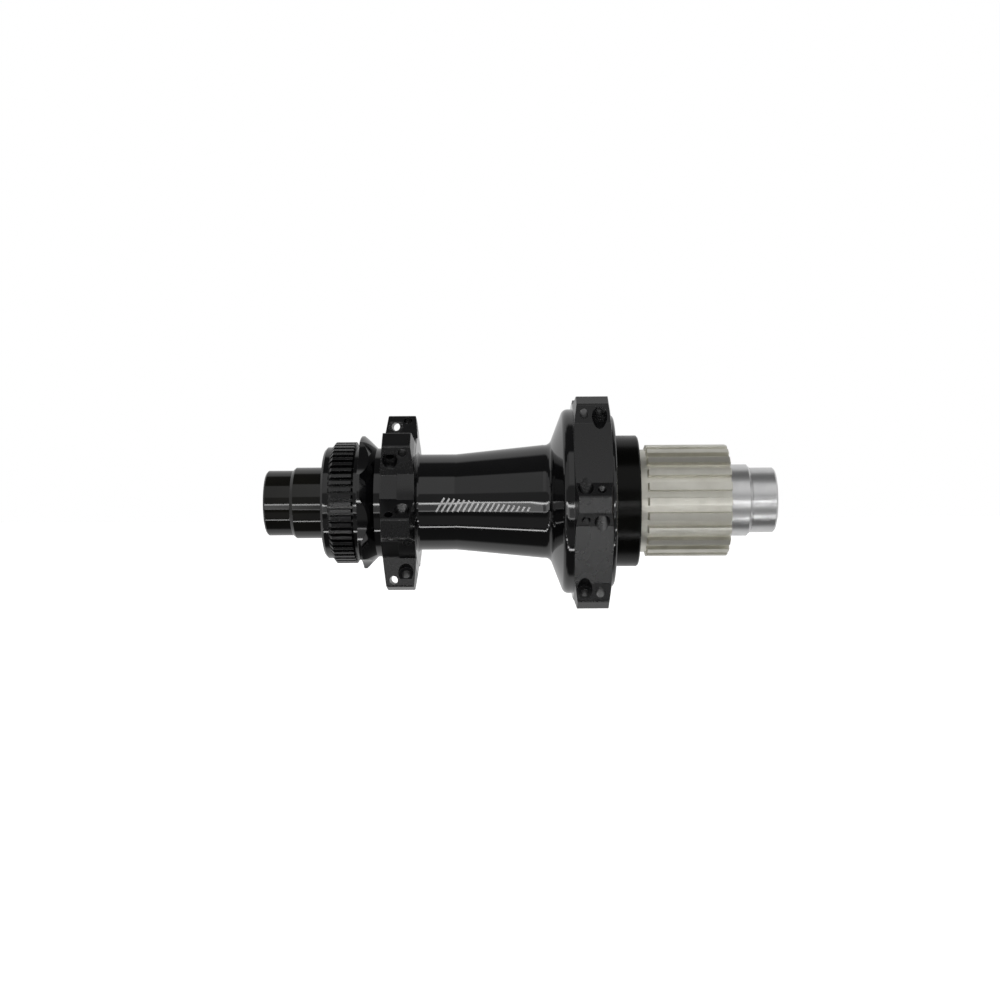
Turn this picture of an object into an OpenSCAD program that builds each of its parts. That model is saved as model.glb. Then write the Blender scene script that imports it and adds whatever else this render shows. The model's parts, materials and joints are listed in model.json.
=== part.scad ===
// Bicycle rear hub for a 12 mm through axle, 148 mm between its end faces.
// Every piece is built along +Z with the drive side at +Z, then lay_down() puts
// the hub's axis on +Y and leaves the hub's centre at the origin.
// Axial places count from the hub's centre and are positive on the drive side.
// Angles turn about the axis from +X towards local +Y, which ends up at -Z.

/* [Axle and end caps] */
// Distance between the end caps' outer faces
hub_w = 148; // [146:1:150]
// Diameter of the through-axle hole in the end caps
through_d = 12.1; // [12.1:0.05:12.3]
// Diameter of the end caps' tips
tip_d = 19; // [18.5:0.5:20]
// Diameter of the hole through the axle tube
axle_hole_d = 12.5; // [12.4:0.1:13]
// Outer diameter of the end cap's barrel on the non-drive side
nds_barrel_d = 20.74; // [20.2:0.02:21]
// Outer diameter of the end cap's barrel on the drive side
ds_barrel_d = 20.94; // [20.2:0.02:21]
// Length of the end caps' tips, up to the taper
tip_l = 7.5; // [6.5:0.1:7.8]

/* [Hub shell] */
// Place of the shell's non-drive end
nose_at = -56.7; // [-57:0.1:-56]
// Radius of the nose ring outside the rotor spline
nose_r = 16.27; // [16:0.01:16.4]
// Radius of the straight tube next to the non-drive flange
tube_r = 13.97; // [13.8:0.01:14.5]
// Place where the tube starts to widen
taper_at = -18.75; // [-22:0.25:-15]
// Radius of the tube where it meets the drive-side cone
wide_r = 16.55; // [16.3:0.05:17]
// Place of the shell's drive-side end face
mouth_at = 27; // [26.95:0.05:27.05]

/* [Rotor spline] */
// Number of spline teeth
rotor_teeth = 54; // [54:1:54]
// Radius over the spline's lands
rotor_land_r = 17.7; // [17.5:0.05:17.9]
// Radius of the spline's floor
rotor_floor_r = 16.3; // [16.1:0.05:16.5]
// Place of the face that the rotor's carrier rests on
rotor_stop_at = -46.15; // [-46.5:0.05:-46]
// Radius of the stop flange's lobes
stop_r = 19.5; // [19:0.1:20]
// Radius left at the bottom of the stop flange's scallops
scallop_r = 17.4; // [17.2:0.1:17.8]

/* [Spoke flanges] */
// Number of lugs on each flange, each lug holding two spokes
lugs = 6; // [6:1:6]
// Diameter of the spoke holes
spoke_d = 2.4; // [2.3:0.1:2.8]
// Diameter of the seats for the spoke heads
head_d = 4.3; // [4:0.1:4.4]
// Axial middle of the non-drive flange
nds_flange_at = -34.75; // [-35.2:0.05:-34.5]
// Axial middle of the drive flange
ds_flange_at = 20.3; // [20.1:0.05:20.5]

/* [Freehub] */
// Place of the freehub's outer end
freehub_end_at = 60; // [59.8:0.1:60.2]
// Number of cassette spline teeth
cassette_teeth = 23; // [23:1:23]
// Radius over the cassette spline
cassette_r = 16.3; // [16.1:0.05:16.5]
// Radius of the cassette spline's floor
cassette_floor_r = 15; // [14.9:0.05:15.2]
// Width of one cassette spline tooth
cassette_tooth_w = 2.22; // [2:0.02:2.4]
// Radius of the black seal ring
seal_ring_r = 19.14; // [19:0.02:19.4]

/* [Ratchet] */
// Number of ratchet teeth
ratchet_teeth = 48; // [48:12:48]
// Number of pawls
pawls = 4; // [4:1:4]
// Radius at the bottom of the ratchet's tooth spaces
ratchet_root_r = 19.8; // [19.7:0.05:19.9]
// Radius at the tips of the ratchet's teeth
ratchet_tip_r = 18.9; // [18.8:0.05:19]
// Distance from the hub's axis to a pawl's pivot
pivot_r = 15.9; // [15.8:0.05:16]
// Length of a pawl from its pivot to its nose
pawl_l = 6.5; // [6.4:0.05:6.6]

/* [Hidden] */
$fn = 96;

end_at = hub_w / 2;
tip_r = tip_d / 2;
through_r = through_d / 2;

// Deep-groove bearings in standard sizes:
// [bore, outer diameter, width, ball diameter, number of balls, place of its non-drive face]
nds_bearing = [15, 28, 7, 3.5, 13, -51.5];
ds_bearing = [17, 30, 7, 3.5, 14, 11];
freehub_inboard = [17, 26, 5, 2.5, 16, 20.2];
freehub_outboard = [17, 26, 5, 2.5, 16, 48];
ball_gap = 0.03;
land_share = 0.63;
seal_t = 0.45;
seal_inset = 0.15;
seal_groove = 0.35;
seal_gap = 0.08;
cage_t = 0.8;
cage_rim = 0.3;

// Axle
axle_end_at = 66;
axle_r = ds_bearing[0] / 2;
axle_end_r = nds_bearing[0] / 2;
axle_step_at = 57;
axle_tube_r = 8.7;
nds_shoulder_r = 9.2;
ds_shoulder_r = 9.7;
spigot_r = 9.3;
o_ring_t = 1.5;
o_ring_at = 60.5;
edge = 0.5;

// Shell inside
lockring_r = 14.5;
lockring_l = 4.6;
nds_seat_r = nds_bearing[1] / 2;
ds_seat_r = ds_bearing[1] / 2;
nds_lip_r = 12.4;
ds_lip_r = 13.6;
shell_wall = 1.77;
ratchet_seat_r = 22.3;
ratchet_from = 19.0;
ratchet_to = 26.4;

// Shell outside
neck_r = 15.85;
neck_at = -41.6;
spline_from = -54.6;
spline_to = -47.4;
stop_land_w = 0.9;
scallop_half_angle = 19.5;
nds_disc_r = 18.9;
nds_disc_at = -29.8;
cone_angle = 69;
cone_round = 2;
cone_r = 26.9;
cone_foot_at = 8.4;
ds_disc_r = 25.2;
ds_disc_round = 1.1;
rotor_angle = -5.55;
lobe_angle = -13.5;

// Flanges: [middle, smallest radius, tip radius, tip width, axial width at the tip,
//           draft, angle of the first lug, lug's roots before and after it as [radius, angle]]
nds_flange = [nds_flange_at, 18.2, 25.65, 5.6, 8, 7, 16.5, [18.6, -19.5], [18.6, 19.5]];
ds_flange = [ds_flange_at, 28.2, 33.4, 4.8, 9, 9.5, 1.8, [29.8, -11.3], [29.8, 11.3]];
lug_round = 0.7;
// Spoke holes: [distance from the axis, lean from the lug's middle line,
//               axial middle of the pair, offset from it, place of the head's seat along the hole]
nds_spokes = [22.25, 76, -34.8, 1.78, 2.1];
ds_spokes = [30.9, 86, 20.05, 2.2, -0.7];
spoke_reach = 13;

// Freehub
drum_r = 18.4;
drum_from = 19.9;
drum_to = 26.6;
freehub_shoulder_r = 16.6;
neck_from = 34;
cassette_from = 36.3;
freehub_seat_r = freehub_inboard[1] / 2;
freehub_lip_r = 12.2;
freehub_thread_r = 13.6;
clip_from = freehub_outboard[5] + freehub_outboard[2];
clip_t = 1.1;
clip_groove_r = 13.85;
spacer_r = 9.6;
skirt_r = 22;
skirt_from = 26.6;
cassette_angle = -14.6;

// Pawls
pin_r = 1.6;
pin_gap = 0.05;
pawl_from = 21.1;
pawl_w = 5.1;
pocket_side = 0.1;
pawl_heel = 1.3;
nose_depth = 1.7;
pawl_nose_r = ratchet_root_r - 0.2;
shut_r = drum_r - 0.1;
spring_room = 0.6;
spring_t = 0.25;
spring_w = 4;
pawl_angle = 20;
tooth_gap = 0.15;
tooth_lean = 2;

function polar(r, a) = [r * cos(a), r * sin(a)];
function unit(v) = v / norm(v);
function turned(points, a) =
    [for (p = points) [p.x * cos(a) - p.y * sin(a), p.x * sin(a) + p.y * cos(a)]];

// Points of an arc of radius r that rounds the corner b between a and c
function corner(a, b, c, r, steps = 4) =
    let (u = unit(a - b), w = unit(c - b), half = acos(u * w) / 2,
         middle = b + unit(u + w) * r / sin(half),
         p = b + u * r / tan(half) - middle, q = b + w * r / tan(half) - middle)
    [for (i = [0:steps]) middle + r * unit(p * (steps - i) + q * i)];

// Puts the hub's axis on +Y
module lay_down() rotate([-90, 0, 0]) children();

// Solid of revolution from [radius, place] points
module turned_piece(points) rotate_extrude() polygon(points);

// Plain ring between two radii and two places
module ring(inner_r, outer_r, from, to)
    turned_piece([[inner_r, from], [outer_r, from], [outer_r, to], [inner_r, to]]);

// Mirrored copy for the other end of the hub
module at_end(side) mirror([0, 0, side < 0 ? 1 : 0]) children();

// ---- axle and end caps -------------------------------------------------

module axle() color("silver") lay_down()
    turned_piece([
        [axle_hole_d / 2, -axle_end_at], [axle_end_r - edge, -axle_end_at],
        [axle_end_r, -axle_end_at + edge], [axle_end_r, nds_bearing[5] + nds_bearing[2]],
        [nds_shoulder_r, nds_bearing[5] + nds_bearing[2]],
        [nds_shoulder_r, nds_bearing[5] + nds_bearing[2] + 2],
        [axle_tube_r, nds_bearing[5] + nds_bearing[2] + 3],
        [axle_tube_r, ds_bearing[5] - 3], [ds_shoulder_r, ds_bearing[5] - 2],
        [ds_shoulder_r, ds_bearing[5]], [axle_r, ds_bearing[5]],
        [axle_r, axle_step_at], [axle_end_r, axle_step_at],
        [axle_end_r, axle_end_at - edge], [axle_end_r - edge, axle_end_at],
        [axle_hole_d / 2, axle_end_at]
    ]);

// Recess for the O-ring between an end cap and the axle
module o_ring_groove()
    ring(axle_end_r - 1, axle_end_r + o_ring_t, o_ring_at - o_ring_t * 0.65, o_ring_at + o_ring_t * 0.65);

module o_ring() color("dimgray")
    translate([0, 0, o_ring_at])
        rotate_extrude() translate([axle_end_r + o_ring_t / 2, 0]) circle(r = o_ring_t / 2);

module nds_end_cap() color("#26241f") lay_down() at_end(-1)
    difference() {
        turned_piece([
            [axle_end_r, -nds_bearing[5]], [spigot_r, -nds_bearing[5]],
            [spigot_r, -nds_bearing[5] + 1.5], [nds_barrel_d / 2, -nds_bearing[5] + 2.4],
            [nds_barrel_d / 2, end_at - tip_l - 1.1], [tip_r, end_at - tip_l - 0.1],
            [tip_r, end_at - edge], [tip_r - edge, end_at],
            [through_r + edge, end_at], [through_r, end_at - edge],
            [through_r, axle_end_at], [axle_end_r, axle_end_at]
        ]);
        o_ring_groove();
    }

module ds_end_cap() color("#e6e6e4") lay_down()
    difference() {
        turned_piece([
            [axle_r, clip_from], [spigot_r, clip_from], [spigot_r, clip_from + 1.8],
            [ds_barrel_d / 2, clip_from + 2.9], [ds_barrel_d / 2, end_at - tip_l - 0.6],
            [ds_barrel_d / 2 - 0.5, end_at - tip_l - 0.3], [tip_r + 0.35, end_at - tip_l],
            [tip_r - 0.15, end_at - tip_l + 0.3], [tip_r, end_at - tip_l + 0.5],
            [tip_r, end_at - edge], [tip_r - edge, end_at],
            [through_r + edge, end_at], [through_r, end_at - edge],
            [through_r, axle_end_at], [axle_end_r, axle_end_at],
            [axle_end_r, axle_step_at], [axle_r, axle_step_at]
        ]);
        o_ring_groove();
    }

module nds_cap_o_ring() lay_down() at_end(-1) o_ring();
module ds_cap_o_ring() lay_down() o_ring();

module drive_spacer() color("silver") lay_down()
    ring(axle_r, ds_shoulder_r, ds_bearing[5] + ds_bearing[2], freehub_inboard[5]);

module freehub_bearing_spacer() color("silver") lay_down()
    ring(axle_r, spacer_r, freehub_inboard[5] + freehub_inboard[2], freehub_outboard[5]);

// ---- hub shell ---------------------------------------------------------

// Half of a flange's axial width at radius r
function flange_half(f, r) = f[4] / 2 + (f[2] - r) * tan(f[5]);

// Outline of one lug, from the flat before it to the flat after it
function lug_outline(f) =
    let (lug_step = 360 / lugs, before = polar(f[7][0], f[7][1]), after = polar(f[8][0], f[8][1]),
         last = polar(f[8][0], f[8][1] - lug_step), next = polar(f[7][0], f[7][1] + lug_step),
         left = [f[2], -f[3] / 2], right = [f[2], f[3] / 2])
    concat(
        corner(last, before, left, lug_round), corner(before, left, right, lug_round),
        corner(left, right, after, lug_round), corner(right, after, next, lug_round));

// Six-sided plate with a lug at each corner
module flange(f) {
    outer = f[2] + 0.3;
    half_in = flange_half(f, f[1]);
    half_out = flange_half(f, outer);
    intersection() {
        turned_piece(concat(
            [[neck_r - 3, f[0] - half_in], [f[1], f[0] - half_in]],
            corner([f[1], f[0] - half_in], [outer, f[0] - half_out], [outer, f[0] + half_out], lug_round),
            corner([outer, f[0] - half_out], [outer, f[0] + half_out], [f[1], f[0] + half_in], lug_round),
            [[f[1], f[0] + half_in], [neck_r - 3, f[0] + half_in]]));
        translate([0, 0, f[0] - f[4]])
            linear_extrude(2 * f[4])
                polygon([for (k = [0:lugs - 1]) each turned(lug_outline(f), f[6] + k * 360 / lugs)]);
    }
}

// One spoke hole with its head seat, leaving the lug towards the given side
module spoke_hole(s, at, side)
    translate([s[0] * sin(s[1]), -side * s[0] * cos(s[1]), at])
        rotate([0, 90, side * s[1]]) {
            translate([0, 0, -spoke_reach]) cylinder(d = spoke_d, h = 2 * spoke_reach);
            translate([0, 0, -spoke_reach]) cylinder(d = head_d, h = spoke_reach + s[4]);
        }

// The two spoke holes of every lug: the outboard spoke leaves one way, the inboard one the other
module flange_spoke_holes(f, s) {
    outboard = f[0] < 0 ? -s[3] : s[3];
    for (k = [0:lugs - 1])
        rotate(f[6] + k * 360 / lugs) {
            spoke_hole(s, s[2] + outboard, -1);
            spoke_hole(s, s[2] - outboard, 1);
        }
}

// Splined sleeve that the brake rotor slides over
module rotor_spline() {
    pitch = 360 / rotor_teeth;
    intersection() {
        turned_piece([
            [rotor_floor_r - 1, spline_from], [rotor_floor_r, spline_from],
            [rotor_land_r, spline_from + 1.1], [rotor_land_r, spline_to - 0.4],
            [rotor_floor_r + 0.6, spline_to], [rotor_floor_r - 1, spline_to]
        ]);
        translate([0, 0, spline_from - 1])
            linear_extrude(spline_to - spline_from + 2)
                polygon([for (k = [0:rotor_teeth - 1], p = [
                    [rotor_floor_r - 0.4, -0.31], [rotor_land_r + 0.3, -0.23],
                    [rotor_land_r + 0.3, 0.23], [rotor_floor_r - 0.4, 0.31]])
                    polar(p.x, rotor_angle + (k + p.y) * pitch)]);
    }
}

// Scalloped flange that stops the rotor
module rotor_stop() {
    scallop_edge = polar(stop_r, scallop_half_angle);
    scallop_at = (norm(scallop_edge) * norm(scallop_edge) - scallop_r * scallop_r)
        / (2 * (scallop_edge.x - scallop_r));
    difference() {
        turned_piece([
            [neck_r - 2, rotor_stop_at], [stop_r - 0.2, rotor_stop_at], [stop_r, rotor_stop_at + 0.2],
            [stop_r, rotor_stop_at + stop_land_w], [neck_r, neck_at], [neck_r - 2, neck_at]
        ]);
        for (k = [0:lugs - 1])
            rotate(lobe_angle + (k + 0.5) * 360 / lugs)
                translate([scallop_at, 0, rotor_stop_at - 1])
                    cylinder(r = scallop_at - scallop_r, h = neck_at - rotor_stop_at + 2);
    }
}

// Outside of the shell without its flanges and spline
module shell_body() {
    foot = [wide_r, cone_foot_at];
    shoulder = [cone_r, cone_foot_at + (cone_r - wide_r) / tan(cone_angle)];
    turned_piece(concat(
        [[0, nose_at], [nose_r - 0.7, nose_at], [nose_r, nose_at + 0.7], [nose_r, rotor_stop_at + 1],
         [neck_r, rotor_stop_at + 1], [neck_r, nds_flange_at], [nds_disc_r, nds_flange_at]],
        corner([nds_disc_r, nds_flange_at], [nds_disc_r, nds_disc_at], [tube_r, nds_disc_at], 0.4),
        corner([nds_disc_r, nds_disc_at], [tube_r, nds_disc_at], [tube_r, taper_at], 1.2),
        [[tube_r, taper_at], [wide_r - 0.05, 6], [wide_r, 6.4]],
        corner([wide_r, 6.4], foot, shoulder, cone_round, 6),
        corner(foot, shoulder, [cone_r, ds_flange_at], cone_round, 6),
        [[cone_r, ds_flange_at], [ds_disc_r, ds_flange_at]],
        corner([ds_disc_r, ds_flange_at], [ds_disc_r, mouth_at], [0, mouth_at], ds_disc_round),
        [[0, mouth_at]]));
}

// Room inside the shell: lockring thread, bearing seats, cavity and ratchet seat
module shell_room() {
    nds_in = nds_bearing[5] + nds_bearing[2];
    ds_out = ds_bearing[5] + ds_bearing[2];
    cavity_r = tube_r - shell_wall;
    cavity_wide_r = wide_r - shell_wall;
    turned_piece([
        [0, nose_at - 1], [lockring_r + 1.4, nose_at - 1], [lockring_r, nose_at + 0.4],
        [lockring_r, nose_at + lockring_l], [nds_seat_r, nose_at + lockring_l + 0.4],
        [nds_seat_r, nds_in], [nds_lip_r, nds_in], [nds_lip_r, nds_in + 1.2],
        [cavity_r, nds_in + 1.4], [cavity_r, taper_at], [cavity_wide_r, 6],
        [cavity_wide_r, 8.2], [ds_lip_r, 9.4], [ds_lip_r, ds_bearing[5]],
        [ds_seat_r, ds_bearing[5]], [ds_seat_r, ds_out], [ds_seat_r + 1, ratchet_from],
        [ratchet_seat_r, ratchet_from], [ratchet_seat_r, mouth_at - 0.3],
        [ratchet_seat_r + 1.3, mouth_at + 1], [0, mouth_at + 1]
    ]);
}

module hub_shell() color("#15161a") lay_down()
    difference() {
        union() {
            shell_body();
            rotor_spline();
            rotor_stop();
            flange(nds_flange);
            flange(ds_flange);
        }
        shell_room();
        flange_spoke_holes(nds_flange, nds_spokes);
        flange_spoke_holes(ds_flange, ds_spokes);
    }

// ---- ratchet and pawls -------------------------------------------------

// Angle between a pawl and the outward radius at its pivot, with its nose at radius r
function pawl_lean(r) =
    acos((r * r - pivot_r * pivot_r - pawl_l * pawl_l) / (2 * pivot_r * pawl_l));
rest_lean = pawl_lean(pawl_nose_r);
shut_lean = pawl_lean(shut_r);
nose_angle = asin(pawl_l * sin(rest_lean) / pawl_nose_r);

module ratchet_ring() color("gray") lay_down()
    difference() {
        translate([0, 0, ratchet_from]) cylinder(r = ratchet_seat_r, h = ratchet_to - ratchet_from);
        translate([0, 0, ratchet_from - 1])
            linear_extrude(ratchet_to - ratchet_from + 2)
                polygon([for (k = [0:ratchet_teeth - 1])
                    let (a = pawl_angle - nose_angle - tooth_gap + k * 360 / ratchet_teeth)
                    each [polar(ratchet_root_r, a),
                          polar(ratchet_tip_r, a + 360 / ratchet_teeth - tooth_lean)]]);
    }

// Places children in a pawl's own frame: pivot at the origin, +X towards the nose
module at_pawl(k, lean)
    rotate(pawl_angle + (k - 1) * 360 / pawls)
        translate([pivot_r, 0, pawl_from]) rotate(-lean) children();

module pawl(k) color("dimgray") lay_down()
    at_pawl(k, rest_lean) {
        tilt = rest_lean - nose_angle;
        cylinder(r = pin_r, h = pawl_w);
        linear_extrude(pawl_w)
            polygon([[0, pawl_heel], [pawl_l, 0],
                     [pawl_l - nose_depth * cos(tilt), -nose_depth * sin(tilt)], [0, -pawl_heel]]);
    }

module pawl_1() pawl(1);
module pawl_2() pawl(2);
module pawl_3() pawl(3);
module pawl_4() pawl(4);

// Room that a pawl swings in, with space for its spring under it
module pawl_pocket(k) {
    floor_y = -pawl_heel - spring_room;
    at_pawl(k, shut_lean)
        translate([0, 0, -pocket_side]) {
            cylinder(r = pin_r + pin_gap, h = pawl_w + 2 * pocket_side);
            linear_extrude(pawl_w + 2 * pocket_side)
                polygon([[0.5, 4.5], [0.5, 0], [1.4, floor_y],
                         [pawl_l + 0.4, floor_y], [pawl_l + 0.4, 4.5]]);
        }
}

// Leaf springs: a foot on the pocket's floor and an arm that pushes the nose out
module pawl_springs() color("silver") lay_down() {
    floor_y = -pawl_heel - spring_room;
    for (k = [1:pawls])
        at_pawl(k, shut_lean)
            translate([0, 0, (pawl_w - spring_w) / 2])
                linear_extrude(spring_w)
                    polygon([[pawl_l - 0.4, floor_y], [1.7, floor_y], [1.5, floor_y + 0.13],
                             [4.6, -0.2], [4.75, -0.43], [2.3, floor_y + spring_t],
                             [pawl_l - 0.4, floor_y + spring_t]]);
}

// ---- freehub -----------------------------------------------------------

module cassette_spline()
    intersection() {
        turned_piece([
            [cassette_floor_r - 1, cassette_from - 0.2], [cassette_floor_r, cassette_from - 0.2],
            [cassette_r, cassette_from + 0.2], [cassette_r, freehub_end_at - 0.2],
            [cassette_r - 0.2, freehub_end_at], [cassette_floor_r - 1, freehub_end_at]
        ]);
        for (k = [0:cassette_teeth - 1])
            rotate(cassette_angle + k * 360 / cassette_teeth)
                translate([cassette_floor_r - 0.6, -cassette_tooth_w / 2, cassette_from - 1])
                    cube([3, cassette_tooth_w, freehub_end_at - cassette_from + 2]);
    }

module freehub_body() color("#b3b0a6") lay_down()
    difference() {
        union() {
            turned_piece([
                [0, drum_from], [drum_r - 0.3, drum_from], [drum_r, drum_from + 0.3],
                [drum_r, drum_to - 0.2], [drum_r - 0.2, drum_to], [freehub_shoulder_r, drum_to],
                [freehub_shoulder_r, neck_from], [cassette_floor_r, neck_from],
                [cassette_floor_r, freehub_end_at - 0.3], [cassette_floor_r - 0.3, freehub_end_at],
                [0, freehub_end_at]
            ]);
            cassette_spline();
        }
        turned_piece([
            [0, drum_from - 1], [freehub_seat_r + 0.3, drum_from - 1],
            [freehub_seat_r, drum_from + 0.3],
            [freehub_seat_r, freehub_inboard[5] + freehub_inboard[2]],
            [freehub_lip_r, freehub_inboard[5] + freehub_inboard[2]],
            [freehub_lip_r, freehub_outboard[5]], [freehub_seat_r, freehub_outboard[5]],
            [freehub_seat_r, clip_from], [clip_groove_r, clip_from],
            [clip_groove_r, clip_from + clip_t], [freehub_seat_r, clip_from + clip_t],
            [freehub_seat_r, clip_from + clip_t + 0.4], [freehub_thread_r, clip_from + clip_t + 0.4],
            [freehub_thread_r, freehub_end_at - 0.4], [freehub_thread_r + 0.4, freehub_end_at],
            [freehub_thread_r + 0.4, freehub_end_at + 1], [0, freehub_end_at + 1]
        ]);
        for (k = [1:pawls]) pawl_pocket(k);
    }

module freehub_seal_ring() color("#1c1b19") lay_down()
    turned_piece([
        [freehub_shoulder_r, skirt_from], [skirt_r, skirt_from], [skirt_r, mouth_at - 0.1],
        [seal_ring_r, mouth_at + 0.15], [seal_ring_r, neck_from - 0.4],
        [seal_ring_r - 0.4, neck_from], [freehub_shoulder_r, neck_from]
    ]);

// Split retaining ring with a hole in each ear
module freehub_circlip() color("dimgray") lay_down()
    translate([0, 0, clip_from + 0.02])
        difference() {
            union() {
                ring(clip_groove_r - 1.2, clip_groove_r - 0.05, 0, clip_t - 0.04);
                for (a = [-11, 11]) rotate(a) translate([12.2, 0, 0]) cylinder(r = 1, h = clip_t - 0.04);
            }
            for (a = [-11, 11]) rotate(a) translate([12.2, 0, -1]) cylinder(r = 0.5, h = clip_t + 2);
            translate([10, -1.2, -1]) cube([5, 2.4, clip_t + 2]);
        }

// ---- bearings ----------------------------------------------------------

function pitch_r(b) = (b[0] + b[1]) / 4;
function inner_land(b) = pitch_r(b) - land_share * b[3] / 2;
function outer_land(b) = pitch_r(b) + land_share * b[3] / 2;

// Groove that the balls run in, cut from both races
module raceway(b)
    translate([0, 0, b[5] + b[2] / 2])
        rotate_extrude() translate([pitch_r(b), 0]) circle(r = b[3] / 2 + ball_gap);

module bearing_inner_race(b) color("silver") lay_down()
    difference() {
        ring(b[0] / 2, inner_land(b), b[5], b[5] + b[2]);
        raceway(b);
    }

// A ring just inside each face of a bearing
module seal_pair(b, inner_r, outer_r) {
    ring(inner_r, outer_r, b[5] + seal_inset, b[5] + seal_inset + seal_t);
    ring(inner_r, outer_r, b[5] + b[2] - seal_inset - seal_t, b[5] + b[2] - seal_inset);
}

module bearing_outer_race(b) color("silver") lay_down()
    difference() {
        ring(outer_land(b), b[1] / 2, b[5], b[5] + b[2]);
        raceway(b);
        seal_pair(b, outer_land(b) - 0.5, outer_land(b) + seal_groove);
    }

module bearing_seals(b) color("#202020") lay_down()
    seal_pair(b, inner_land(b) + seal_gap, outer_land(b) + seal_groove);

module bearing_balls(b) color("silver") lay_down()
    for (k = [0:b[4] - 1])
        rotate(k * 360 / b[4]) translate([pitch_r(b), 0, b[5] + b[2] / 2]) sphere(d = b[3]);

module bearing_cage(b) color("tan") lay_down() {
    half = b[3] / 2 + cage_rim;
    middle = b[5] + b[2] / 2;
    difference() {
        ring(pitch_r(b) - cage_t / 2, pitch_r(b) + cage_t / 2, middle - half, middle + half);
        for (k = [0:b[4] - 1])
            rotate(k * 360 / b[4])
                translate([pitch_r(b) - cage_t, 0, middle])
                    rotate([0, 90, 0]) cylinder(d = b[3] + 2 * pin_gap, h = 2 * cage_t);
    }
}

module nds_bearing_inner_race() bearing_inner_race(nds_bearing);
module nds_bearing_outer_race() bearing_outer_race(nds_bearing);
module nds_bearing_balls() bearing_balls(nds_bearing);
module nds_bearing_cage() bearing_cage(nds_bearing);
module nds_bearing_seals() bearing_seals(nds_bearing);
module ds_bearing_inner_race() bearing_inner_race(ds_bearing);
module ds_bearing_outer_race() bearing_outer_race(ds_bearing);
module ds_bearing_balls() bearing_balls(ds_bearing);
module ds_bearing_cage() bearing_cage(ds_bearing);
module ds_bearing_seals() bearing_seals(ds_bearing);
module freehub_inboard_inner_race() bearing_inner_race(freehub_inboard);
module freehub_inboard_outer_race() bearing_outer_race(freehub_inboard);
module freehub_inboard_balls() bearing_balls(freehub_inboard);
module freehub_inboard_cage() bearing_cage(freehub_inboard);
module freehub_inboard_seals() bearing_seals(freehub_inboard);
module freehub_outboard_inner_race() bearing_inner_race(freehub_outboard);
module freehub_outboard_outer_race() bearing_outer_race(freehub_outboard);
module freehub_outboard_balls() bearing_balls(freehub_outboard);
module freehub_outboard_cage() bearing_cage(freehub_outboard);
module freehub_outboard_seals() bearing_seals(freehub_outboard);

axle();
nds_end_cap();
ds_end_cap();
nds_cap_o_ring();
ds_cap_o_ring();
drive_spacer();
freehub_bearing_spacer();
hub_shell();
ratchet_ring();
freehub_body();
freehub_seal_ring();
freehub_circlip();
pawl_springs();
pawl_1();
pawl_2();
pawl_3();
pawl_4();
nds_bearing_inner_race();
nds_bearing_outer_race();
nds_bearing_balls();
nds_bearing_cage();
nds_bearing_seals();
ds_bearing_inner_race();
ds_bearing_outer_race();
ds_bearing_balls();
ds_bearing_cage();
ds_bearing_seals();
freehub_inboard_inner_race();
freehub_inboard_outer_race();
freehub_inboard_balls();
freehub_inboard_cage();
freehub_inboard_seals();
freehub_outboard_inner_race();
freehub_outboard_outer_race();
freehub_outboard_balls();
freehub_outboard_cage();
freehub_outboard_seals();
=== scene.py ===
"""Rear hub for a bicycle: the looks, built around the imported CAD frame.

The hub's axis lies on +Y with the drive side at +Y, and +X points at the viewer.
Every length is in metres unless a name ends in _mm or _deg. Shapes that are added here
are surfaces computed with numpy; the CAD nodes keep their shapes and get finishes.
"""

import json
import logging
import math
from dataclasses import dataclass, field
from enum import Enum

import bmesh
import bpy
import numpy as np
from mathutils import Matrix, Vector
from mathutils.bvhtree import BVHTree


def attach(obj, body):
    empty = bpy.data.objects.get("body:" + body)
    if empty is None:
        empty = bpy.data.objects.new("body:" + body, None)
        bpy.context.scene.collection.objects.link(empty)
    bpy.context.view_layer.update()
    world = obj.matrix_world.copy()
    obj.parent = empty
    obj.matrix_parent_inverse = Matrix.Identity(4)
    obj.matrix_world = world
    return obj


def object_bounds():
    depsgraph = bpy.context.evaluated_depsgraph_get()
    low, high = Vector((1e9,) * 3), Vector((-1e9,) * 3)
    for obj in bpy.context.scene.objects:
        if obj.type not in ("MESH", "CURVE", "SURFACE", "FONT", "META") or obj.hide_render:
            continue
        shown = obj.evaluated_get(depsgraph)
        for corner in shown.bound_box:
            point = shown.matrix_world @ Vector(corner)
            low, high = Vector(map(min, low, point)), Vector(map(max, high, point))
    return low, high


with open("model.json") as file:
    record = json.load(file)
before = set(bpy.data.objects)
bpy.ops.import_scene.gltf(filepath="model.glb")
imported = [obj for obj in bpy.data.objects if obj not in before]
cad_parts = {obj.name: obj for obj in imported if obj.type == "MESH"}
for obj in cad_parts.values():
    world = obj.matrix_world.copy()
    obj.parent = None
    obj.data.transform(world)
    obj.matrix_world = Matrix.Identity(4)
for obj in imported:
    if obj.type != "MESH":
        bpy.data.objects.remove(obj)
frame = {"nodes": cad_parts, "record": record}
CAD_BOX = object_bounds()

LOG = logging.getLogger("hub")
MM = 0.001
MICRON = 0.000001
Array = np.ndarray


class Slot(Enum):
    """The record's material slots, which are also the names of the finishes."""

    SHELL_BLACK = "shell_black"
    CAP_BLACK = "cap_black"
    CAP_SILVER = "cap_silver"
    FREEHUB_ALLOY = "freehub_alloy"
    SEAL_BLACK = "seal_black"
    AXLE_ALLOY = "axle_alloy"
    BEARING_STEEL = "bearing_steel"
    RATCHET_STEEL = "ratchet_steel"
    SPRING_STEEL = "spring_steel"
    SEAL_RUBBER = "seal_rubber"
    CAGE_RESIN = "cage_resin"


# ---- shared effects, as shader node groups ------------------------------


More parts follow.
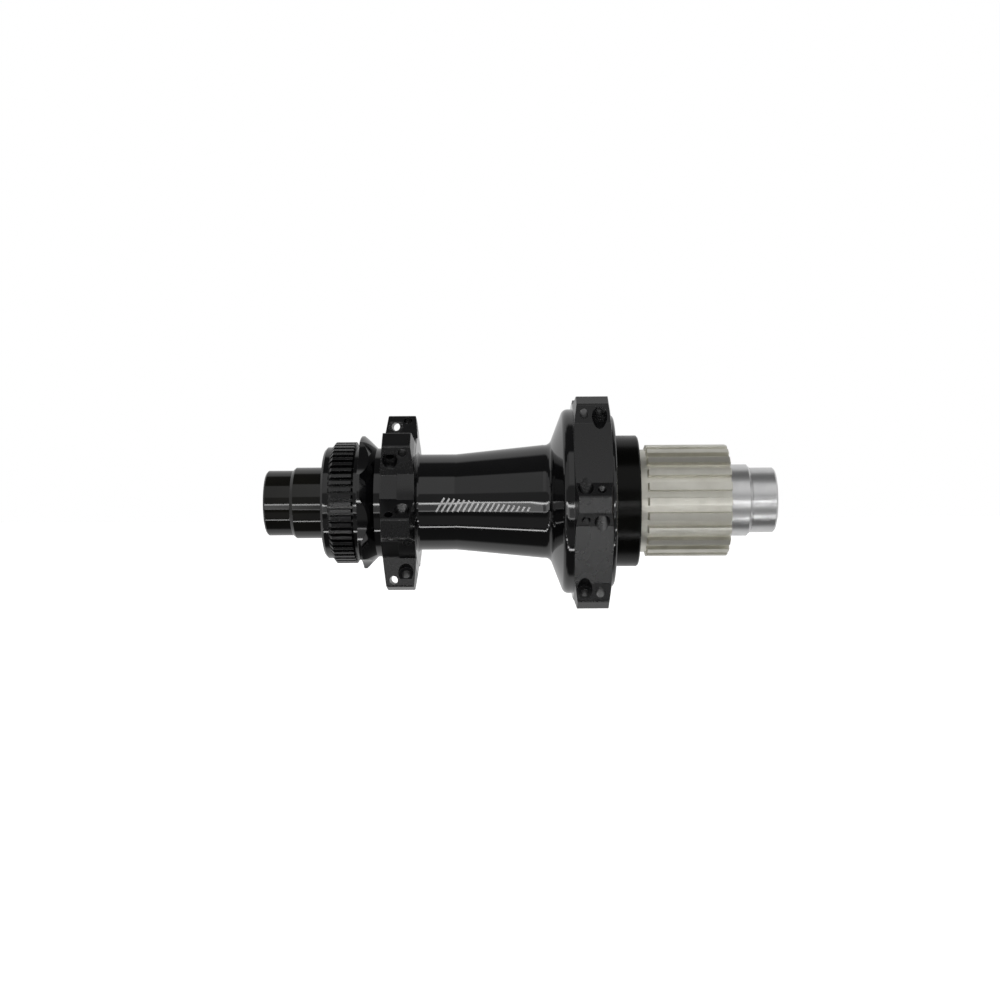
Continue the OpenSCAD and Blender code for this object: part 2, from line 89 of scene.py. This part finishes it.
@dataclass
class Wiring:
    """A node tree with short calls to add nodes and join them."""

    tree: bpy.types.NodeTree

    def add(self, kind: str, **settings: object) -> bpy.types.Node:
        """Adds a node.

        Args:
            kind: The node's type name in Blender.
            settings: Properties to set on it.

        Returns:
            The new node.
        """
        node = self.tree.nodes.new(kind)
        for name, value in settings.items():
            setattr(node, name, value)
        return node

    def join(self, source: bpy.types.NodeSocket, target: bpy.types.NodeSocket) -> None:
        """Links one socket to another."""
        self.tree.links.new(source, target)

    def math(self, operation: str, *inputs: object) -> bpy.types.NodeSocket:
        """Adds a Math node.

        Args:
            operation: The node's operation.
            inputs: A socket or a number for each input.

        Returns:
            The node's value.
        """
        node = self.add("ShaderNodeMath", operation=operation)
        for slot, value in zip(node.inputs, inputs):
            if isinstance(value, (int, float)):
                slot.default_value = value
            else:
                self.join(value, slot)
        return node.outputs[0]

    def ease(self, value: bpy.types.NodeSocket, low: float, high: float,
             to_low: float = 0.0, to_high: float = 1.0) -> bpy.types.NodeSocket:
        """Maps a value smoothly from one range to another.

        Args:
            value: The value to map.
            low: Where the result starts to change.
            high: Where it stops changing.
            to_low: The result at low.
            to_high: The result at high.

        Returns:
            The mapped value.
        """
        node = self.add("ShaderNodeMapRange", interpolation_type="SMOOTHSTEP")
        self.join(value, node.inputs["Value"])
        for name, number in (("From Min", low), ("From Max", high),
                             ("To Min", to_low), ("To Max", to_high)):
            node.inputs[name].default_value = number
        return node.outputs["Result"]

    def around_axis(self) -> tuple[bpy.types.NodeSocket, bpy.types.NodeSocket]:
        """Finds where a point lies along the hub's axis and how far from it.

        Returns:
            The place along the axis and the distance from it.
        """
        place = self.add("ShaderNodeTexCoord")
        parts = self.add("ShaderNodeSeparateXYZ")
        self.join(place.outputs["Object"], parts.inputs[0])
        x, y, z = parts.outputs
        squares = self.math("ADD", self.math("MULTIPLY", x, x), self.math("MULTIPLY", z, z))
        return y, self.math("SQRT", squares)


def new_group(name: str, inputs: dict[str, float], outputs: dict[str, str]) -> Wiring:
    """Starts a shader node group.

    Args:
        name: The group's name.
        inputs: Each input's name and starting value.
        outputs: Each output's name and socket type.

    Returns:
        The group's wiring, with its input and output nodes in place.
    """
    tree = bpy.data.node_groups.new(name, "ShaderNodeTree")
    for label, value in inputs.items():
        socket = tree.interface.new_socket(label, in_out="INPUT", socket_type="NodeSocketFloat")
        socket.default_value = value
    for label, kind in outputs.items():
        tree.interface.new_socket(label, in_out="OUTPUT", socket_type=kind)
    wiring = Wiring(tree)
    wiring.add("NodeGroupInput", name="in")
    wiring.add("NodeGroupOutput", name="out")
    return wiring


# Wear starts and is full at these bends of the rounded normal, and where the patches'
# noise lies between these levels. A detail is a noise's number of octaves.
BEVEL_SAMPLES = 6
WEAR_BEND = (0.02, 0.16)
WEAR_PATCHES = (0.35, 0.65)
WEAR_DETAIL = 3.0
FINE_DETAIL = 2.0
BROAD_DETAIL = 5.0
RING_DETAIL = 1.0


def edge_wear_group() -> bpy.types.NodeTree:
    """Builds the edge-wear effect.

    A rounded normal is compared with the flat one: they differ only near an edge, so
    1 minus their dot product marks the edges. Noise breaks the mark up.

    Returns:
        A group that gives the rounded normal and the wear mask.
    """
    group = new_group("edge_wear", {"Radius": 0.0002, "Patchiness": 2500.0},
                      {"Normal": "NodeSocketVector", "Wear": "NodeSocketFloat"})
    given, out = group.tree.nodes["in"], group.tree.nodes["out"]
    rounded = group.add("ShaderNodeBevel", samples=BEVEL_SAMPLES)
    group.join(given.outputs["Radius"], rounded.inputs["Radius"])
    flat = group.add("ShaderNodeNewGeometry")
    dot = group.add("ShaderNodeVectorMath", operation="DOT_PRODUCT")
    group.join(rounded.outputs["Normal"], dot.inputs[0])
    group.join(flat.outputs["Normal"], dot.inputs[1])
    place = group.add("ShaderNodeTexCoord")
    noise = group.add("ShaderNodeTexNoise")
    noise.inputs["Detail"].default_value = WEAR_DETAIL
    group.join(place.outputs["Object"], noise.inputs["Vector"])
    group.join(given.outputs["Patchiness"], noise.inputs["Scale"])
    bend = group.math("SUBTRACT", 1.0, dot.outputs["Value"])
    edge = group.ease(bend, *WEAR_BEND)
    patches = group.ease(noise.outputs["Fac"], *WEAR_PATCHES)
    group.join(rounded.outputs["Normal"], out.inputs["Normal"])
    group.join(group.math("MULTIPLY", edge, patches), out.inputs["Wear"])
    return group.tree


def grain_group() -> bpy.types.NodeTree:
    """Builds the surface-grain effect: fine noise in all directions at two scales.

    Returns:
        A group that gives a height and a slow variation of tone, both about 0 to 1.
    """
    group = new_group("grain", {"Fine": 9000.0, "Broad": 180.0},
                      {"Height": "NodeSocketFloat", "Tone": "NodeSocketFloat"})
    given, out = group.tree.nodes["in"], group.tree.nodes["out"]
    place = group.add("ShaderNodeTexCoord")
    for size, target, detail in (("Fine", "Height", FINE_DETAIL), ("Broad", "Tone", BROAD_DETAIL)):
        noise = group.add("ShaderNodeTexNoise")
        noise.inputs["Detail"].default_value = detail
        group.join(place.outputs["Object"], noise.inputs["Vector"])
        group.join(given.outputs[size], noise.inputs["Scale"])
        group.join(noise.outputs["Fac"], out.inputs[target])
    return group.tree


def turning_group() -> bpy.types.NodeTree:
    """Builds the lathe-turned effect: rings around the hub's axis.

    The rings are one-dimensional noise of the place along the axis plus the distance
    from it, so barrels and end faces both show the tool's spiral.

    Returns:
        A group that gives the rings' height, about 0 to 1.
    """
    group = new_group("turning", {"Rings per metre": 9000.0}, {"Height": "NodeSocketFloat"})
    given, out = group.tree.nodes["in"], group.tree.nodes["out"]
    y, radius = group.around_axis()
    along = group.math("ADD", y, radius)
    noise = group.add("ShaderNodeTexNoise", noise_dimensions="1D")
    noise.inputs["Detail"].default_value = RING_DETAIL
    noise.inputs["Scale"].default_value = 1.0
    group.join(group.math("MULTIPLY", along, given.outputs["Rings per metre"]), noise.inputs["W"])
    group.join(noise.outputs["Fac"], out.inputs["Height"])
    return group.tree


def milled_group() -> bpy.types.NodeTree:
    """Builds the mask of a milled collar: the places beyond a radius, near a place on the axis.

    Returns:
        A group that gives 1 on the collar and 0 elsewhere.
    """
    group = new_group("milled", {"Place": 0.0, "Half width": 0.005, "Radius": 0.02},
                      {"Mask": "NodeSocketFloat"})
    given, out = group.tree.nodes["in"], group.tree.nodes["out"]
    y, radius = group.around_axis()
    away = group.math("ABSOLUTE", group.math("SUBTRACT", y, given.outputs["Place"]))
    near = group.math("LESS_THAN", away, given.outputs["Half width"])
    beyond = group.math("GREATER_THAN", radius, given.outputs["Radius"])
    group.join(group.math("MULTIPLY", near, beyond), out.inputs["Mask"])
    return group.tree


@dataclass
class Effects:
    """The shared node groups, built once."""

    edge_wear: bpy.types.NodeTree = field(default_factory=edge_wear_group)
    grain: bpy.types.NodeTree = field(default_factory=grain_group)
    turning: bpy.types.NodeTree = field(default_factory=turning_group)
    milled: bpy.types.NodeTree = field(default_factory=milled_group)


# ---- finishes -----------------------------------------------------------

Colour = tuple[float, float, float]
COAT_ROUGH = 0.05
# Levels of the broad grain between which the tone and the roughness change over
TONE_MIX = (0.3, 0.7)
ROUGH_MIX = (0.25, 0.75)


@dataclass(frozen=True)
class Collar:
    """A milled collar of the shell, which is rougher than what the lathe left.

    It is centred at a place on the axis, half_width to either side, beyond a radius.
    """

    place: float
    half_width: float
    radius: float


@dataclass(frozen=True)
class Finish:
    """One finish of the hub.

    colour and shade are the two tones that the broad grain mixes; worn is the tone that
    edges take, as far as wear lets them. rough is the mean roughness, rough_spread how far
    it varies and milled_rough what the collars add to it. The bumps are heights in metres
    of the grain and of the lathe's rings; fine and rings say how many there are in a metre.
    """

    slot: Slot
    colour: Colour
    shade: Colour
    worn: Colour
    metallic: float
    rough: float
    rough_spread: float = 0.04
    ior: float = 1.5
    coat: float = 0.0
    edge_radius: float = 0.15 * MM
    wear: float = 0.3
    grain_bump: float = 0.0
    fine: float = 9000.0
    turned_bump: float = 0.0
    rings: float = 9000.0
    collars: tuple[Collar, ...] = ()
    milled_rough: float = 0.0

    def build(self, effects: Effects) -> bpy.types.Material:
        """Makes the material.

        Args:
            effects: The shared node groups.

        Returns:
            The finished material.
        """
        material = bpy.data.materials.new(self.slot.value)
        material.use_nodes = True
        wires = Wiring(material.node_tree)
        wires.tree.nodes.clear()
        shader = wires.add("ShaderNodeBsdfPrincipled")
        output = wires.add("ShaderNodeOutputMaterial")
        wires.join(shader.outputs[0], output.inputs["Surface"])
        shader.inputs["Metallic"].default_value = self.metallic
        shader.inputs["IOR"].default_value = self.ior
        shader.inputs["Coat Weight"].default_value = self.coat
        shader.inputs["Coat Roughness"].default_value = COAT_ROUGH

        grain = wires.add("ShaderNodeGroup", node_tree=effects.grain)
        grain.inputs["Fine"].default_value = self.fine
        edges = wires.add("ShaderNodeGroup", node_tree=effects.edge_wear)
        edges.inputs["Radius"].default_value = self.edge_radius

        tone = wires.add("ShaderNodeMix", data_type="RGBA")
        wires.join(wires.ease(grain.outputs["Tone"], *TONE_MIX), tone.inputs["Factor"])
        tone.inputs["A"].default_value = (*self.colour, 1.0)
        tone.inputs["B"].default_value = (*self.shade, 1.0)
        worn = wires.add("ShaderNodeMix", data_type="RGBA")
        wires.join(wires.math("MULTIPLY", edges.outputs["Wear"], self.wear), worn.inputs["Factor"])
        wires.join(tone.outputs["Result"], worn.inputs["A"])
        worn.inputs["B"].default_value = (*self.worn, 1.0)
        wires.join(worn.outputs["Result"], shader.inputs["Base Color"])
        rough = wires.ease(grain.outputs["Tone"], *ROUGH_MIX, self.rough - self.rough_spread,
                           self.rough + self.rough_spread)
        for collar in self.collars:
            milled = wires.add("ShaderNodeGroup", node_tree=effects.milled)
            milled.inputs["Place"].default_value = collar.place
            milled.inputs["Half width"].default_value = collar.half_width
            milled.inputs["Radius"].default_value = collar.radius
            extra = wires.math("MULTIPLY", milled.outputs["Mask"], self.milled_rough)
            rough = wires.math("ADD", rough, extra)
        wires.join(rough, shader.inputs["Roughness"])
        wires.join(self._normal(wires, effects, grain, edges), shader.inputs["Normal"])
        return material

    def _normal(self, wires: Wiring, effects: Effects, grain: bpy.types.Node,
                edges: bpy.types.Node) -> bpy.types.NodeSocket:
        """Adds the grain's and the lathe's bumps to the rounded normal.

        Args:
            wires: The material's wiring.
            effects: The shared node groups.
            grain: The grain node.
            edges: The edge-wear node, which gives the normal to start from.

        Returns:
            The normal to shade with.
        """
        normal = edges.outputs["Normal"]
        layers = [(self.grain_bump, grain.outputs["Height"])]
        if self.turned_bump > 0:
            turning = wires.add("ShaderNodeGroup", node_tree=effects.turning)
            turning.inputs["Rings per metre"].default_value = self.rings
            layers.append((self.turned_bump, turning.outputs["Height"]))
        for height, source in layers:
            if height > 0:
                bump = wires.add("ShaderNodeBump")
                bump.inputs["Distance"].default_value = height
                bump.inputs["Strength"].default_value = 1.0
                wires.join(source, bump.inputs["Height"])
                wires.join(normal, bump.inputs["Normal"])
                normal = bump.outputs["Normal"]
        return normal


FINISHES = (
    Finish(Slot.SHELL_BLACK, (0.0045, 0.0045, 0.0052), (0.007, 0.007, 0.008), (0.05, 0.05, 0.055),
           metallic=0.0, rough=0.065, rough_spread=0.01, ior=1.58, wear=0.35,
           grain_bump=0.3 * MICRON, fine=5000.0, milled_rough=0.21,
           collars=(Collar(-34.75 * MM, 4.6 * MM, 17.2 * MM), Collar(20.3 * MM, 5.3 * MM, 27.2 * MM),
                    Collar(-51.1 * MM, 3.4 * MM, 15.8 * MM))),
    Finish(Slot.CAP_BLACK, (0.006, 0.0056, 0.0034), (0.010, 0.009, 0.0055), (0.07, 0.065, 0.05),
           metallic=0.0, rough=0.07, rough_spread=0.01, ior=1.48, wear=0.4,
           turned_bump=0.12 * MICRON, rings=5000.0),
    Finish(Slot.CAP_SILVER, (0.78, 0.78, 0.78), (0.73, 0.73, 0.735), (0.88, 0.88, 0.88),
           metallic=1.0, rough=0.37, rough_spread=0.03, coat=1.0, wear=0.4,
           turned_bump=0.4 * MICRON, rings=7000.0),
    Finish(Slot.FREEHUB_ALLOY, (0.80, 0.785, 0.71), (0.74, 0.725, 0.65), (0.88, 0.87, 0.82),
           metallic=1.0, rough=0.46, rough_spread=0.05, coat=0.25, wear=0.4, edge_radius=0.06 * MM,
           grain_bump=0.6 * MICRON, fine=9000.0),
    Finish(Slot.SEAL_BLACK, (0.0016, 0.0016, 0.0008), (0.0028, 0.0028, 0.0016), (0.03, 0.03, 0.02),
           metallic=0.0, rough=0.22, rough_spread=0.04, ior=1.24, wear=0.2,
           turned_bump=0.5 * MICRON, rings=9000.0),
    Finish(Slot.AXLE_ALLOY, (0.70, 0.70, 0.71), (0.60, 0.60, 0.61), (0.8, 0.8, 0.8),
           metallic=1.0, rough=0.28, wear=0.3, turned_bump=1.8 * MICRON, rings=9000.0),
    Finish(Slot.BEARING_STEEL, (0.62, 0.62, 0.64), (0.55, 0.55, 0.57), (0.75, 0.75, 0.76),
           metallic=1.0, rough=0.12, rough_spread=0.03, wear=0.2,
           turned_bump=0.6 * MICRON, rings=16000.0),
    Finish(Slot.RATCHET_STEEL, (0.30, 0.30, 0.31), (0.22, 0.22, 0.23), (0.5, 0.5, 0.5),
           metallic=1.0, rough=0.32, wear=0.6, grain_bump=1.5 * MICRON),
    Finish(Slot.SPRING_STEEL, (0.20, 0.22, 0.28), (0.30, 0.27, 0.25), (0.55, 0.55, 0.55),
           metallic=1.0, rough=0.25, wear=0.4, grain_bump=1.0 * MICRON),
    Finish(Slot.SEAL_RUBBER, (0.016, 0.016, 0.016), (0.024, 0.024, 0.024), (0.04, 0.04, 0.04),
           metallic=0.0, rough=0.6, rough_spread=0.08, wear=0.1, grain_bump=6.0 * MICRON, fine=6000.0),
    Finish(Slot.CAGE_RESIN, (0.48, 0.36, 0.20), (0.40, 0.29, 0.15), (0.55, 0.45, 0.3),
           metallic=0.0, rough=0.45, wear=0.1, grain_bump=3.0 * MICRON, fine=5000.0),
)
ETCHING = Finish(Slot.CAP_SILVER, (0.92, 0.92, 0.92), (0.84, 0.84, 0.84), (0.95, 0.95, 0.95),
                 metallic=0.0, rough=0.5, wear=0.2, grain_bump=4.0 * MICRON, fine=14000.0)


@dataclass
class Paintshop:
    """Holds the finished materials and puts them on pieces."""

    effects: Effects = field(default_factory=Effects)
    materials: dict[Slot, bpy.types.Material] = field(default_factory=dict)

    def open(self) -> None:
        """Makes every finish."""
        for finish in FINISHES:
            self.materials[finish.slot] = finish.build(self.effects)
        LOG.info("%d finishes", len(self.materials))

    def etch(self, piece: bpy.types.Object) -> None:
        """Gives a piece the etched finish of the shell's mark."""
        material = ETCHING.build(self.effects)
        material.name = "etching"
        piece.data.materials.append(material)

    def coat(self, piece: bpy.types.Object, slot: Slot) -> None:
        """Gives a piece one finish, the material named after the record's slot."""
        piece.data.materials.clear()
        piece.data.materials.append(self.materials[slot])

    def coat_cad_nodes(self) -> None:
        """Gives each CAD node the finish of its own slot in the record."""
        parts = frame["record"]["subparts"]
        for part in parts:
            self.coat(frame["nodes"][part["node"]], Slot(part["material_slot"]))
        LOG.info("%d CAD nodes coated", len(parts))


# ---- new pieces ---------------------------------------------------------


def ring_indices(rows: int, columns: int, closed: bool) -> Array:
    """Gives the quads of a grid whose columns run round a closed loop.

    Args:
        rows: Number of loops.
        columns: Points on each loop.
        closed: True to join the last loop to the first.

    Returns:
        The quads' corners, one row for each quad.
    """
    i, j = np.meshgrid(np.arange(rows if closed else rows - 1), np.arange(columns), indexing="ij")
    down, across = (i + 1) % rows, (j + 1) % columns
    quads = np.stack([i * columns + j, i * columns + across,
                      down * columns + across, down * columns + j], axis=-1)
    return quads.reshape(-1, 4)


def make_piece(name: str, points: Array, faces: list[list[int]], body: str) -> bpy.types.Object:
    """Makes a piece's object, with its faces turned outwards.

    Args:
        name: The piece's name.
        points: Its corners, in metres.
        faces: Each face's corners.
        body: The body it rides on.

    Returns:
        The object.
    """
    mesh = bpy.data.meshes.new(name)
    mesh.from_pydata(points.reshape(-1, 3), [], faces)
    shape = bmesh.new()
    shape.from_mesh(mesh)
    bmesh.ops.recalc_face_normals(shape, faces=shape.faces)
    shape.to_mesh(mesh)
    shape.free()
    piece = bpy.data.objects.new(name, mesh)
    bpy.context.scene.collection.objects.link(piece)
    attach(piece, body)
    LOG.info("%s: %d faces", name, len(faces))
    return piece


@dataclass
class Thread:
    """An internal thread, as a thin sleeve on the plain wall of a threaded end.

    start and end are places on the axis, and wall_r is the plain wall's radius. sharpness
    narrows the ridges, and sunk is the share of buried by which their roots lie in the wall.
    """

    name: str
    body: str
    slot: Slot
    wall_r: float
    start: float
    end: float
    pitch: float = 1.0 * MM
    depth: float = 0.3 * MM
    buried: float = 0.06 * MM
    sharpness: float = 1.4
    sunk: float = 0.25
    around: int = 120
    per_pitch: int = 8

    def build(self, paintshop: Paintshop) -> None:
        """Makes the sleeve.

        Round the axis by a turn t and along it by s, the inner face's radius is the wall's
        less the depth times a raised cosine of s over the pitch minus t, to the power of
        sharpness. The ridges die out over one pitch at both ends, and the outer face lies
        just inside the wall.

        Args:
            paintshop: Gives the finish.
        """
        rows = int(round((self.end - self.start) / self.pitch * self.per_pitch))
        turn = np.arange(self.around)[:, None] / self.around
        along = np.linspace(0.0, 1.0, rows)[None, :]
        place = self.start + (self.end - self.start) * along
        wave = 0.5 - 0.5 * np.cos(2 * np.pi * (place / self.pitch - turn))
        fade = np.clip(np.minimum(along, 1.0 - along) * rows / self.per_pitch, 0.0, 1.0)
        inner = self.wall_r - self.depth * wave**self.sharpness * fade + self.sunk * self.buried
        outer = np.full_like(inner, self.wall_r + self.buried)
        radii = np.concatenate([inner, outer], axis=1)
        places = np.broadcast_to(np.concatenate([place, place[:, ::-1]], axis=1), radii.shape)
        angle = 2 * np.pi * turn
        points = np.stack([radii * np.cos(angle), places, radii * np.sin(angle)], axis=-1)
        quads = ring_indices(self.around, 2 * rows, closed=True)
        piece = make_piece(self.name, points, quads.tolist(), self.body)
        piece.data.shade_smooth()
        paintshop.coat(piece, self.slot)


THREADS = (
    Thread("rotor_lockring_ridges", "shell", Slot.SHELL_BLACK,
           wall_r=14.5 * MM, start=-56.0 * MM, end=-52.4 * MM),
    Thread("cassette_lockring_ridges", "freehub", Slot.FREEHUB_ALLOY,
           wall_r=13.6 * MM, start=54.9 * MM, end=59.3 * MM),
)


@dataclass
class TubeMark:
    """A plain pattern etched on the shell's tube: a row of slanting bars that get shorter.

    low and high are places on the axis; bottom and top are heights along the tube's round,
    up from the viewer's side. stroke is a bar's width and shortest the last bar's share.
    """

    low: float = -24.0 * MM
    high: float = 2.6 * MM
    bottom: float = -2.8 * MM
    top: float = 1.2 * MM
    lean: float = 2.4 * MM
    shortest: float = 0.3
    stroke: float = 0.55 * MM
    proud: float = 0.03 * MM
    buried: float = 0.05 * MM
    steps: int = 16
    bars: int = 18
    probes: int = 80
    probe_from: float = 40.0 * MM

    def strokes(self) -> list[tuple[Array, Array]]:
        """Lays the bars out flat, as places along the tube and heights on it.

        The bars start at even steps along the mark. Their lean and height fall evenly from
        the whole to the shortest share of it.

        Returns:
            The two ends of each bar.
        """
        feet = np.linspace(self.low, self.high - self.lean * self.shortest, self.bars)
        share = np.linspace(1.0, self.shortest, self.bars)
        tops = np.stack([feet + share * self.lean,
                         self.bottom + share * (self.top - self.bottom)], axis=1)
        return [(np.array([foot, self.bottom]), end) for foot, end in zip(feet, tops)]

    def wall(self) -> tuple[Array, Array]:
        """Feels for the tube's outer radius with rays from outside, straight at the axis.

        Returns:
            Places along the axis, in order, and the radius at each.
        """
        shape = bmesh.new()
        shape.from_mesh(frame["nodes"]["hub_shell"].data)
        tree = BVHTree.FromBMesh(shape)
        shape.free()
        margin = 2 * self.stroke
        places = np.linspace(self.low - margin, self.high + margin, self.probes)
        inwards = Vector((-1, 0, 0))
        hits = [tree.ray_cast(Vector((self.probe_from, y, 0)), inwards)[0] for y in places]
        return places, np.array([hit.x for hit in hits])

    def build(self, paintshop: Paintshop) -> None:
        """Makes the mark as closed strips on the tube.

        Each stroke is a flat bar swept from end to end: its section's four corners lie half
        a stroke to either side and just above or below the surface. A height h on a tube of
        radius r becomes the angle h over r, so the bars keep their width.

        Args:
            paintshop: Gives the finish.
        """
        places, radii = self.wall()
        side = np.array([-1.0, 1.0, 1.0, -1.0]) * self.stroke / 2
        lift = np.array([self.proud, self.proud, -self.buried, -self.buried])
        corners = len(side)
        points, faces = [], []
        for start, end in self.strokes():
            way = (end - start) / np.linalg.norm(end - start)
            across = np.array([-way[1], way[0]])
            share = np.linspace(0.0, 1.0, self.steps)[:, None, None]
            flat = start + (end - start) * share + across * side[None, :, None]
            radius = np.interp(flat[..., 0], places, radii)
            angle = flat[..., 1] / radius
            reach = radius + lift[None, :]
            first = corners * self.steps * len(points)
            last = first + corners * (self.steps - 1)
            points.append(np.stack([reach * np.cos(angle), flat[..., 0], reach * np.sin(angle)], -1))
            faces += (ring_indices(self.steps, corners, closed=False) + first).tolist()
            faces += [[end_at + k for k in range(corners)] for end_at in (first, last)]
        piece = make_piece("tube_mark", np.concatenate(points), faces, "shell")
        paintshop.etch(piece)


# ---- stage --------------------------------------------------------------


@dataclass(frozen=True)
class SoftBox:
    """A band of light along the hub's axis, between two angles about it.

    The angles count upwards from the viewer's side, and soft_deg is how far each edge of
    the band fades. Past the studio's joint, towards the non-drive end, the strength is
    end_gain times as much.
    """

    low_deg: float
    high_deg: float
    soft_deg: float
    strength: float
    end_gain: float = 1.0


@dataclass
class Studio:
    """Camera, light and floor.

    distance is from the camera to the hub's axis and frame_width is across the view there.
    shift is a share of that width. joint and end_fade are parts of a unit direction that
    lie along the axis, between which the light changes; fill and end_level are the light's
    levels between the bands and past the ends.
    """

    distance: float = 0.4266
    frame_width: float = 0.2932
    sensor_mm: float = 36.0
    shift: float = -0.02256
    aim_y: float = 0.00057
    aim_z: float = 0.00044
    roll_deg: float = -0.382
    floor_drop: float = 0.06
    floor_size: float = 12.0
    floor_grey: float = 0.85
    floor_rough: float = 0.9
    floor_glow: float = 0.8
    clip: tuple[float, float] = (0.01, 50.0)
    fill: float = 0.10
    joint: tuple[float, float] = (-0.175, -0.135)
    end_fade: tuple[float, float] = (0.86, 0.98)
    end_level: float = 0.7
    boxes: tuple[SoftBox, ...] = (
        SoftBox(110.0, 181.0, 5.0, 0.75),
        SoftBox(19.5, 63.0, 2.0, 0.85, 0.75),
        SoftBox(-5.0, 19.5, 3.0, 0.22),
        SoftBox(-7.4, -5.9, 0.5, 14.0),
        SoftBox(-21.0, -6.5, 1.0, 0.75, 3.0),
        SoftBox(-22.3, -20.7, 0.5, 4.0),
        SoftBox(-57.0, -33.0, 3.0, 0.20),
        SoftBox(-63.2, -61.0, 0.6, 13.0),
        SoftBox(-181.0, -106.0, 5.0, 0.75),
    )

    def place_camera(self) -> None:
        """Puts the camera square to the hub's axis, at its distance on +X."""
        data = bpy.data.cameras.new("camera")
        data.sensor_width = self.sensor_mm
        data.lens = self.sensor_mm * self.distance / self.frame_width
        data.shift_x = self.shift
        data.clip_start, data.clip_end = self.clip
        camera = bpy.data.objects.new("camera", data)
        bpy.context.scene.collection.objects.link(camera)
        facing = Matrix.Rotation(math.pi / 2, 4, "Z") @ Matrix.Rotation(math.pi / 2, 4, "X")
        roll = Matrix.Rotation(math.radians(self.roll_deg), 4, "Z")
        spot = Matrix.Translation(Vector((self.distance, self.aim_y, self.aim_z)))
        camera.matrix_world = spot @ facing @ roll
        bpy.context.scene.camera = camera

    def hang_lights(self) -> None:
        """Builds the studio's surround: a white backdrop and bands of light in reflections.

        The angle about the hub's axis is atan2(z, x) of the direction. Each band adds its
        strength between its two angles, and the bands fade out towards the axis' ends.
        """
        world = bpy.data.worlds.new("studio")
        bpy.context.scene.world = world
        world.use_nodes = True
        wires = Wiring(world.node_tree)
        wires.tree.nodes.clear()
        direction = wires.add("ShaderNodeTexCoord")
        parts = wires.add("ShaderNodeSeparateXYZ")
        wires.join(direction.outputs["Generated"], parts.inputs[0])
        x, y, z = parts.outputs
        angle = wires.math("DEGREES", wires.math("ARCTAN2", z, x))
        light = wires.math("ADD", 0.0, self.fill)
        past = wires.ease(y, *self.joint, 1.0, 0.0)
        for box in self.boxes:
            soft = box.soft_deg
            rise = wires.ease(angle, box.low_deg - soft, box.low_deg + soft)
            fall = wires.ease(angle, box.high_deg - soft, box.high_deg + soft, 1.0, 0.0)
            gain = wires.math("MULTIPLY_ADD", past, box.strength * (box.end_gain - 1.0), box.strength)
            band = wires.math("MULTIPLY", wires.math("MULTIPLY", rise, fall), gain)
            light = wires.math("ADD", light, band)
        ends = wires.ease(wires.math("ABSOLUTE", y), *self.end_fade)
        level = wires.add("ShaderNodeMix", data_type="FLOAT")
        wires.join(ends, level.inputs["Factor"])
        wires.join(light, level.inputs["A"])
        level.inputs["B"].default_value = self.end_level
        glow = wires.add("ShaderNodeBackground")
        wires.join(level.outputs["Result"], glow.inputs["Strength"])
        seen = wires.add("ShaderNodeBackground")
        seen.inputs["Color"].default_value = (1.0, 1.0, 1.0, 1.0)
        ray = wires.add("ShaderNodeLightPath")
        either = wires.add("ShaderNodeMixShader")
        wires.join(ray.outputs["Is Camera Ray"], either.inputs[0])
        wires.join(glow.outputs[0], either.inputs[1])
        wires.join(seen.outputs[0], either.inputs[2])
        output = wires.add("ShaderNodeOutputWorld")
        wires.join(either.outputs[0], output.inputs["Surface"])
        bpy.context.scene.view_settings.view_transform = "Standard"

    def lay_floor(self) -> None:
        """Lays a pale floor below the hub, lit so that it meets the backdrop."""
        half = self.floor_size / 2
        level = CAD_BOX[0].z - self.floor_drop
        mesh = bpy.data.meshes.new("floor")
        corners = [(-half, -half, level), (half, -half, level), (half, half, level), (-half, half, level)]
        mesh.from_pydata(corners, [], [(0, 1, 2, 3)])
        floor = bpy.data.objects.new("floor", mesh)
        bpy.context.scene.collection.objects.link(floor)
        material = bpy.data.materials.new("floor_paint")
        material.use_nodes = True
        shader = material.node_tree.nodes["Principled BSDF"]
        grey = self.floor_grey
        shader.inputs["Base Color"].default_value = (grey, grey, grey, 1.0)
        shader.inputs["Roughness"].default_value = self.floor_rough
        shader.inputs["Emission Color"].default_value = (1.0, 1.0, 1.0, 1.0)
        shader.inputs["Emission Strength"].default_value = self.floor_glow
        mesh.materials.append(material)
        floor.visible_glossy = False
        floor.visible_diffuse = False


def main() -> None:
    """Builds the scene in order; the finishes, the coated CAD nodes and each new piece are logged."""
    logging.basicConfig(level=logging.INFO)
    studio = Studio()
    studio.place_camera()
    studio.hang_lights()
    studio.lay_floor()
    paintshop = Paintshop()
    paintshop.open()
    paintshop.coat_cad_nodes()
    for thread in THREADS:
        thread.build(paintshop)
    TubeMark().build(paintshop)


if __name__ == "__main__":
    main()
